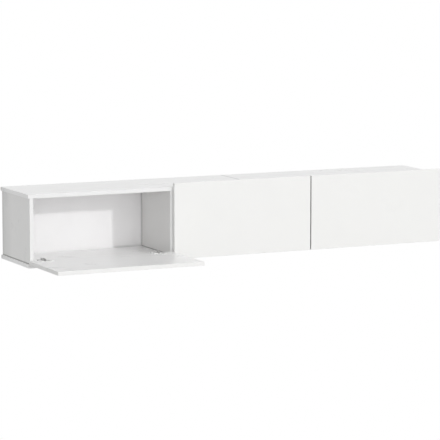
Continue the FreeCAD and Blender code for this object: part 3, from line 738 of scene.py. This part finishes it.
def cam_housings():
    """Cam housings: a face with a cross recess over a wall that is open towards the bolt. The wall
    is a section of pairs (depth a, radius r) carried round: inward * a + r * (sin t, cos t), t from
    CAM_MOUTH to a full turn less CAM_MOUTH."""
    shell = Shell()
    t = np.linspace(CAM_MOUTH, 2 * np.pi - CAM_MOUTH, CAM_STEPS)
    for low, high in solids("cams"):
        panel_low, panel_high = upright_at(low[0] + LAP / 2)
        way = 1.0 if low[0] + high[0] > panel_low.x + panel_high.x else -1.0
        radius = (high[2] - low[2]) / 2
        depth = high[0] - low[0]
        base = (low + high) / 2
        base[0] = (high if way > 0 else low)[0] - way * CAM_FACE
        inward = np.array([-way, 0.0, 0.0])
        shell.cross_face(base, -inward, radius * CAM_BRIM, CAM_FACE + CAM_LIP, 0.0,
                         (*CAM_CROSS, RECESS_DEPTH * CAM_FACE))
        spoke = np.column_stack([np.zeros(CAM_STEPS), np.sin(t), towards_end(low, high) * np.cos(t)])
        section = [(-LAP, radius * CAM_BODY), (-LAP, radius - CAM_WALL),
                   (depth - CAM_FACE, radius - CAM_WALL), (depth - CAM_FACE, radius * CAM_BODY)]
        shell.stack(np.stack([base + inward * a + spoke * r for a, r in section], axis=1))
    piece("cam_housings", shell, "carcass", "die_cast_zinc", ["cams"])


def cam_studs():
    """Cam bolts: a turned profile of a thread in the board, a collar, a neck and a round head
    inside the cam. The thread's radius goes back and forth between its root and its crest."""
    shell = Shell()
    ridge = np.where(np.arange(len(STUD_THREAD)) % 2, STUD_ROOT, STUD_CREST)
    for low, high in solids("cam_bolts"):
        way = -towards_end(low, high)
        base = (low + high) / 2
        base[2] = (low if way > 0 else high)[2]
        end = high[2] - low[2]
        head = (high[0] - low[0]) * STUD_HEAD_RADIUS
        profile = [(0.0, STUD_TIP), *zip(STUD_THREAD, ridge), *STUD_COLLAR]
        profile += [(end - back, radius) for back, radius in STUD_NECK]
        profile += [(end - back, head * share) for back, share in STUD_HEAD]
        shell.turned(base, (0.0, 0.0, way), profile, STUD_SIDES)
    piece("cam_studs", shell, "carcass", "plated_fasteners", ["cam_bolts"])


def fluted_dowels():
    """Dowels with chamfered ends and fine flutes: radius * (1 - FLUTE_DEPTH * (1 - cos(FLUTES * t)))."""
    shell = Shell()
    for low, high in solids("dowels"):
        base = (low + high) / 2
        base[2] = low[2]
        end = high[2] - low[2]
        radius = (high[0] - low[0]) / math.sqrt(2)
        profile = [(0.0, radius - DOWEL_CHAMFER), (DOWEL_CHAMFER, radius),
                   (end - DOWEL_CHAMFER, radius), (end, radius - DOWEL_CHAMFER)]
        shell.turned(base, (0.0, 0.0, 1.0), profile, 2 * FLUTES,
                     lambda t: 1 - FLUTE_DEPTH * (1 - np.cos(FLUTES * t)))
    piece("fluted_dowels", shell, "carcass", "beech", ["dowels"])


def sleeve_bolts():
    """Sleeve bolts through both centre panels: a flat chamfered head with a hexagon socket on each
    side. The socket's radius is SOCKET_HALF / cos(a), a measured from the middle of each flat."""
    shell = Shell()
    t = around(SLEEVE_SIDES)
    axis, p, q = axes((1.0, 0.0, 0.0))
    spoke = np.cos(t)[:, None] * p + np.sin(t)[:, None] * q
    socket = SOCKET_HALF / np.cos((t + math.pi / 6) % (math.pi / 3) - math.pi / 6)
    for low, high in solids("tie_bolts"):
        base = (low + high) / 2
        base[0] = low[0]
        end = high[0] - low[0]
        radius = (high[2] - low[2]) / 2
        profile = [(SOCKET_DEPTH * SLEEVE_HEAD, socket), (0.0, socket), (0.0, radius - SLEEVE_CHAMFER),
                   (SLEEVE_CHAMFER, radius), (SLEEVE_HEAD, radius), (SLEEVE_HEAD, SLEEVE_RADIUS)]
        profile += [(end - a, r) for a, r in profile[::-1]]
        shell.stack(np.array([base + axis * a + spoke * np.broadcast_to(r, SLEEVE_SIDES)[:, None]
                              for a, r in profile]))
    piece("sleeve_bolts", shell, "carcass", "plated_fasteners", ["tie_bolts"])


def fixing_screws():
    """Screws of the mounting plates, the arms and the hanger plates."""
    for name, node, head_height in (("plate_wing_screws", "hinge_plate_screws", PLATE_HEAD),
                                    ("arm_setting_screws", "hinge_arm_screws", ARM_HEAD)):
        shell = Shell()
        for low, high in solids(node):
            pan_screw(shell, low, high, 2, 1.0, head_height)
        piece(name, shell, "carcass", "plated_fasteners", [node])
    shell = Shell()
    for low, high in solids("hanger_screws"):
        panel = upright_at((low[0] + high[0]) / 2)
        pan_screw(shell, low, high, 0, 1.0 if high[0] > panel[1].x else -1.0, HANGER_HEAD)
    piece("hanger_plate_screws", shell, "carcass", "plated_fasteners", ["hanger_screws"])


# ---------------------------------------------------------------- hinges
def flap_place(side):
    """Function from heights and depths on a flap to side-view places."""
    low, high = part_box(side + "_flap_panel")
    if side == OPEN_FLAP:
        return lambda height, depth: np.stack([high.y - height, high.z - depth], axis=-1)
    return lambda height, depth: np.stack([high.y - depth, low.z + height], axis=-1)


def on_flap(side, x, height, depth):
    """Points on a flap from x, heights and depths."""
    x, height, depth = np.broadcast_arrays(x, height, depth)
    return np.concatenate([x[..., None], flap_place(side)(height, depth)], axis=-1)


def hinge_middles(side):
    """X of the two hinges of a flap."""
    boxes = [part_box(side + "_flap_hinge_arm_" + end) for end in ("left", "right")]
    return [(low.x + high.x) / 2 for low, high in boxes]


def pivot(name):
    """Side-view place of a joint."""
    return np.array(joints[name]["pos_m"][1:])


def in_link(start, end, along, beside):
    """Side-view place start + u * along + n * beside, u the direction from one pivot to the other
    and n square to it. A negative `along` is counted back from the second pivot."""
    run = np.linalg.norm(end - start)
    u = (end - start) / run
    return start + u * (along if along >= 0 else run + along) + np.array([u[1], -u[0]]) * beside


def strap_outline(path, eye_start, eye_end):
    """Outline of a strap along a bent line with a round eye at each end, as its two sides. The
    line's corners are worn round by averaging neighbours. Half width: that of the strap or the
    height sqrt(eye**2 - d**2) of an eye whose middle is d away, whichever is more."""
    points = np.asarray(path, float)
    length = np.concatenate([[0], np.cumsum(np.linalg.norm(np.diff(points, axis=0), axis=1))])
    even = np.linspace(0, length[-1], LINE_STEPS)
    line = np.column_stack([np.interp(even, length, points[:, k]) for k in range(2)])
    for _ in range(LINE_WEAR):
        line[1:-1] = (line[:-2] + 2 * line[1:-1] + line[2:]) / 4
    back = (line[0] - line[1]) / np.linalg.norm(line[0] - line[1])
    ahead = (line[-1] - line[-2]) / np.linalg.norm(line[-1] - line[-2])
    line = np.vstack([line[0] + back * eye_start, line, line[-1] + ahead * eye_end])
    length = np.concatenate([[0], np.cumsum(np.linalg.norm(np.diff(line, axis=0), axis=1))])
    s = length[-1] * (1 - np.cos(np.linspace(0, np.pi, STRAP_STEPS))) / 2
    middle = np.column_stack([np.interp(s, length, line[:, k]) for k in range(2)])
    along = np.gradient(middle, s, axis=0)
    along /= np.linalg.norm(along, axis=1)[:, None]
    from_start = s - eye_start
    from_end = s - length[-1] + eye_end
    half = np.maximum(np.sqrt(np.clip(eye_start ** 2 - from_start ** 2, 0, None)),
                      np.sqrt(np.clip(eye_end ** 2 - from_end ** 2, 0, None)))
    half = np.maximum(half, STRAP_HALF * ((from_start > 0) & (from_end < 0)))
    across = np.column_stack([along[:, 1], -along[:, 0]]) * half[:, None]
    return middle + across, middle - across


def outer_links(side):
    """Pressed links, all outlines carried along X: two cheeks outside the arm, each a strap with
    round eyes and a tab below, and a bridge from tab to tab."""
    a = pivot(side + "_outer_links_turn")
    b = on_flap(side, 0.0, *OUTER_PIN)[1:]
    upper, lower = strap_outline([a] + [in_link(a, b, *bend) for bend in OUTER_BENDS] + [b],
                                 ARM_EYE, LINK_EYE)
    along = (lower - a) @ (b - a) / np.linalg.norm(b - a)
    tab = [in_link(a, b, span, WEB_SIDE) for span in WEB_SPAN]
    cheek = np.vstack([upper, lower[along > WEB_SPAN[1]][::-1], tab[::-1],
                       lower[along < WEB_SPAN[0]][::-1]])
    bridge = [in_link(a, b, WEB_SPAN[end] + inset, WEB_SIDE + rise) for end, inset, rise in (
        (0, LAP, LAP), (1, -LAP, LAP), (1, -LAP, WEB_STEEL), (0, LAP, WEB_STEEL))]
    shell = Shell()
    for x in hinge_middles(side):
        shell.prism(x - OUTER_IN - LAP, x + OUTER_IN + LAP, bridge)
        shell.prism(x - OUTER_OUT, x - OUTER_IN, cheek)
        shell.prism(x + OUTER_IN, x + OUTER_OUT, cheek)
    piece(side + "_outer_link_pressings", shell, side + "_outer_links", "nickel_plated_steel",
          [side + "_flap_outer_links"], EDGE_ROUND)


def inner_links(side):
    """Solid bowed links: the outline of a strap carried along X, with the flap pin riveted in."""
    a = pivot(side + "_inner_links_turn")
    b = on_flap(side, 0.0, *INNER_PIN)[1:]
    bow = in_link(a, b, np.linalg.norm(b - a) / 2, INNER_BOW)
    upper, lower = strap_outline([a, bow, b], TIP_EYE, LINK_EYE)
    shell = Shell()
    for x in hinge_middles(side):
        shell.prism(x - INNER_HALF, x + INNER_HALF, np.vstack([upper, lower[::-1]]))
        reach = INNER_HALF + ARM_STEEL
        rivet(shell, x - reach, x + reach, b, PIN_RADIUS)
    piece(side + "_inner_link_bars", shell, side + "_inner_links", "nickel_plated_steel",
          [side + "_flap_inner_links"], EDGE_ROUND, "hinge_steel")


def hinge_arm(side, end):
    """Folded arm, all outlines carried along X: two cheeks with a half-round tip, from its middle
    TIP_EYE * (-cos t, sin t), and a back between them, slotted for its clamp screw."""
    node = side + "_flap_hinge_arm_" + end
    low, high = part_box(node)
    x = (low.x + high.x) / 2
    rear = high.y
    rib_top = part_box(side + "_flap_mounting_plates")[1].z
    top = rib_top + ARM_STEEL
    a = pivot(side + "_outer_links_turn")
    c = pivot(side + "_inner_links_turn")
    rise = board_low.y + ARM_RISE
    neck = a[0] + ARM_EYE
    crest = a[1] + ARM_EYE
    t = np.linspace(np.pi / 2, -np.pi / 2, TIP_STEPS)
    tip = np.column_stack([c[0] - TIP_EYE * np.cos(t), c[1] + TIP_EYE * np.sin(t)])
    skirt = rib_top - ARM_SKIRT
    cheek = np.vstack([[(rear, skirt), (rear, top), (rise, top), (neck, crest), (a[0], crest)], tip,
                       [(a[0], a[1] - ARM_EYE), (rise - ARM_EYE, skirt)]])
    drop = ARM_STEEL * math.hypot(rise - neck, crest - top) / (rise - neck)
    lip = ARM_ROOF * drop / (drop + ARM_STEEL)
    slot_end = board_low.y + CLAMP_BEHIND_FRONT - CLAMP_HALF
    pressed = top - LAP / 2
    roof = [(slot_end, rib_top), (slot_end, pressed), (rise, pressed), (neck, crest - LAP / 2),
            (neck - lip, crest - LAP / 2), (neck, crest - drop), (rise, rib_top)]
    tongue = [(rear - LAP, rib_top + LAP), (rear - LAP, pressed - LAP / 2),
              (slot_end - LAP, pressed - LAP / 2), (slot_end - LAP, rib_top + LAP)]
    inner = ARM_HALF - ARM_STEEL
    shell = Shell()
    shell.prism(x - ARM_HALF, x - inner, cheek)
    shell.prism(x + inner, x + ARM_HALF, cheek)
    shell.prism(x - inner - LAP, x + inner + LAP, roof)
    shell.prism(x - inner - LAP, x - CLAMP_HALF, tongue)
    shell.prism(x + CLAMP_HALF, x + inner + LAP, tongue)
    piece(side + "_arm_folding_" + end, shell, "carcass", "nickel_plated_steel", [node], EDGE_ROUND)


def rounded_box(x, y, half_x, half_y, corner):
    """Plan outline of a block with round corners as a function of an inset: a quarter circle
    (corner - inset) * (cos t, sin t) about the middle of each corner."""
    t = (np.linspace(0, np.pi / 2, CORNER_STEPS) + np.arange(4)[:, None] * np.pi / 2).ravel()
    right = np.repeat([1, -1, -1, 1], CORNER_STEPS)
    up = np.repeat([1, 1, -1, -1], CORNER_STEPS)
    return lambda inset: (x + right * (half_x - corner) + (corner - inset) * np.cos(t),
                          y + up * (half_y - corner) + (corner - inset) * np.sin(t))


def mounting_plates(side):
    """Die-cast plates of stacked plan outlines with round corners: a foot under the arm, a bar of
    two wings and a rib. A low turned boss lies round each wing screw."""
    node = side + "_flap_mounting_plates"
    shell = Shell()
    for low, high in solids(node):
        x, y = (low + high)[:2] / 2
        half_x, half_y = (high - low)[:2] / 2
        row = board_low.y + WING_ROW
        base = low[2] + PLATE_BASE
        rib = INNER_HALF + LAYER_GAP - LAP
        for outline, top in (
                (rounded_box(x, y, ARM_HALF, half_y, PLATE_CORNER), base - LAP / 4),
                (rounded_box(x, row, half_x, WING_HALF, PLATE_CORNER), base - LAP / 2),
                (rounded_box(x, y, rib, half_y - LAP, PLATE_CORNER / 2), high[2])):
            shell.plate(outline, ((0.0, low[2]), (0.0, top - PLATE_EDGE), (PLATE_EDGE, top)))
        for way in (-1, 1):
            shell.turned((x + way * WING_SCREW, row, low[2] + LAP), (0, 0, 1),
                         [(0.0, BOSS_RADIUS), (base - low[2] - 2 * LAP, BOSS_RADIUS),
                          (base - low[2] - LAP, BOSS_RADIUS - BOSS_EDGE)], BOSS_SIDES)
    piece(side + "_plate_castings", shell, "carcass", "die_cast_zinc", [node])


def arm_rivets():
    """The two pins of every arm."""
    shell = Shell()
    for low, high in solids("hinge_arm_pins"):
        rivet(shell, low[0], high[0], ((low + high) / 2)[1:], (high[2] - low[2]) / 2)
    piece("arm_rivets", shell, "carcass", "nickel_plated_steel", ["hinge_arm_pins"])


def flange_edge(t):
    """Distance from the cup's middle to the flange's edge: the farthest of the round rim, the two
    wing discs and the bar between them, cut off straight below."""
    across, up = np.cos(t), np.sin(t)
    edge = np.full_like(t, FLANGE_RADIUS)
    for wing in (-WING_REACH, WING_REACH):
        near = wing * across + WING_RISE * up
        room = WING_RADIUS ** 2 - (wing ** 2 + WING_RISE ** 2 - near ** 2)
        reach = near + np.sqrt(np.clip(room, 0, None))
        edge = np.maximum(edge, np.where((room > 0) & (near > 0), reach, 0))
    bar = (WING_RISE + WING_RADIUS) / np.clip(up, 1e-6, None)
    edge = np.maximum(edge, np.where(np.abs(bar * across) < WING_REACH, bar, 0))
    cut = (CUP_CENTRE - FLANGE_CUT) / np.clip(-up, 1e-6, None)
    return np.minimum(edge, np.maximum(cut, CUP_RADIUS - CUP_STEEL / 3))


def hinge_cups(side):
    """Pressed cups. The bowl is a profile of pairs (depth, r) carried round the cup's middle by
    r * (cos t, sin t). The winged flange is too, out to the edge r(t). Two lugs with a half-round
    end take the outer pins."""
    t = around(CUP_SIDES)
    wall = CUP_RADIUS - CUP_STEEL
    foot = CUP_DEPTH - CUP_STEEL
    worn = WORN * CUP_CORNER
    bowl = ((CUP_DEPTH, CUP_POLE), (CUP_DEPTH, CUP_RADIUS - CUP_CORNER),
            (CUP_DEPTH - worn, CUP_RADIUS - worn), (CUP_DEPTH - CUP_CORNER, CUP_RADIUS),
            (0.0, CUP_RADIUS), (-FLANGE_STEEL, CUP_RADIUS - LAP),
            (-FLANGE_STEEL - LAP / 4, wall + LAP), (0.0, wall), (foot - CUP_CORNER, wall),
            (foot - worn, wall - worn), (foot, wall - CUP_CORNER), (foot, CUP_POLE))
    inner = np.full_like(t, CUP_RADIUS - CUP_STEEL / 2)
    edge = flange_edge(t)
    sheet = ((0.0, inner), (-FLANGE_STEEL, inner), (-FLANGE_STEEL, edge - LAP),
             (LAP - FLANGE_STEEL, edge), (0.0, edge))
    pin_height, pin_depth = OUTER_PIN
    a = np.linspace(0, np.pi, LUG_STEPS)
    lug_height = pin_height + LINK_EYE * np.append(np.cos(a), (-LUG_FOOT, LUG_FOOT))
    lug_depth = np.append(pin_depth - LINK_EYE * np.sin(a), (foot + LAP, foot + LAP))
    shell = Shell()
    for x in hinge_middles(side):
        for rings, loop in ((bowl, False), (sheet, True)):
            shell.stack(np.array([on_flap(side, x + r * np.cos(t), CUP_CENTRE + r * np.sin(t), depth)
                                  for depth, r in rings]), loop)
        for way in (-1, 1):
            shell.stack(np.array([on_flap(side, x + way * reach, lug_height, lug_depth)
                                  for reach in (LUG_IN, LUG_IN + LUG_STEEL)]))
    piece(side + "_cup_pressings", shell, side + "_flap", "nickel_plated_steel", [side + "_flap_cups"])
    shell = Shell()
    node = side + "_flap_cup_pins"
    for low, high in solids(node):
        rivet(shell, low[0], high[0], ((low + high) / 2)[1:], PIN_RADIUS)
    piece(side + "_cup_rivets", shell, side + "_flap", "nickel_plated_steel", [node])
    shell = Shell()
    node = side + "_flap_cup_screws"
    for low, high in solids(node):
        pan_screw(shell, low, high, 2 if side == OPEN_FLAP else 1, 1.0, CUP_HEAD)
    piece(side + "_cup_wing_screws", shell, side + "_flap", "plated_fasteners", [node])


cam_housings()
cam_studs()
fluted_dowels()
sleeve_bolts()
fixing_screws()
arm_rivets()
for side in FLAPS:
    outer_links(side)
    inner_links(side)
    hinge_arm(side, "left")
    hinge_arm(side, "right")
    mounting_plates(side)
    hinge_cups(side)


# ---------------------------------------------------------------- stage, light and camera
def white_where_seen(shader, kind, output, shade):
    """White of strength 1 for what the camera, a gloss or a glass sees, `shade` for the rest."""
    rays = [shader.node("ShaderNodeLightPath", out=ray)
            for ray in ("Is Camera Ray", "Is Glossy Ray", "Is Transmission Ray")]
    seen = rays[0].larger(rays[1]).larger(rays[2])
    white = shader.node(kind, {}, ((1.0, 1.0, 1.0, 1.0), 1.0))
    shader.node(output, {}, (shader.node("ShaderNodeMixShader", {}, (seen, shade, white)),))


def make_world():
    """Even light plus soft boxes; a box adds strength * max(0, cos a) ** SPREAD, a from its middle."""
    world = bpy.data.worlds.new("studio")
    bpy.context.scene.world = world
    shader = Shader(world)
    x, y, z = shader.parts(shader.node("ShaderNodeTexCoord", out="Generated"))
    strength = EVEN_LIGHT
    for azimuth, elevation, glow in SOFT_BOXES:
        turn, lift = math.radians(azimuth), math.radians(elevation)
        towards = (x * (math.sin(turn) * math.cos(lift)) - y * (math.cos(turn) * math.cos(lift))
                   + z * math.sin(lift))
        strength = towards.larger(0.0) ** SPREAD * glow + strength
    ambient = shader.node("ShaderNodeBackground", {}, ((1.0, 1.0, 1.0, 1.0), strength))
    white_where_seen(shader, "ShaderNodeBackground", "ShaderNodeOutputWorld", ambient)


def make_floor():
    """Pale floor under the console, white to the camera."""
    half = FLOOR_SIDE / 2
    mesh = bpy.data.meshes.new("floor")
    corners = [(-half, -half, FLOOR_HEIGHT), (half, -half, FLOOR_HEIGHT),
               (half, half, FLOOR_HEIGHT), (-half, half, FLOOR_HEIGHT)]
    mesh.from_pydata(corners, [], [(0, 1, 2, 3)])
    floor = bpy.data.objects.new("floor", mesh)
    bpy.context.scene.collection.objects.link(floor)
    material = bpy.data.materials.new("pale_floor")
    shader = Shader(material)
    pale = shader.node("ShaderNodeBsdfDiffuse", {}, ((FLOOR_ALBEDO, FLOOR_ALBEDO, FLOOR_ALBEDO, 1.0),))
    white_where_seen(shader, "ShaderNodeEmission", "ShaderNodeOutputMaterial", pale)
    mesh.materials.append(material)


def make_key():
    """The sharp light from the front left."""
    light = bpy.data.lights.new("key", "SUN")
    light.energy = KEY_STRENGTH
    light.angle = KEY_ANGLE
    lamp = bpy.data.objects.new("key", light)
    lamp.rotation_euler = Vector(KEY_TRAVEL).to_track_quat("-Z", "Y").to_euler()
    bpy.context.scene.collection.objects.link(lamp)


def make_camera():
    """Camera to the left of the console, looking down on it."""
    camera = bpy.data.cameras.new("camera")
    camera.sensor_width = SENSOR_WIDTH
    camera.lens = FOCAL_PIXELS * SENSOR_WIDTH / IMAGE_SIDE
    viewer = bpy.data.objects.new("camera", camera)
    viewer.location = CAMERA_PLACE
    viewer.rotation_euler = (math.pi / 2 - CAMERA_PITCH, 0.0, -CAMERA_YAW)
    bpy.context.scene.collection.objects.link(viewer)
    bpy.context.scene.camera = viewer


make_world()
make_floor()
make_key()
make_camera()
bpy.context.scene.view_settings.view_transform = "Standard"
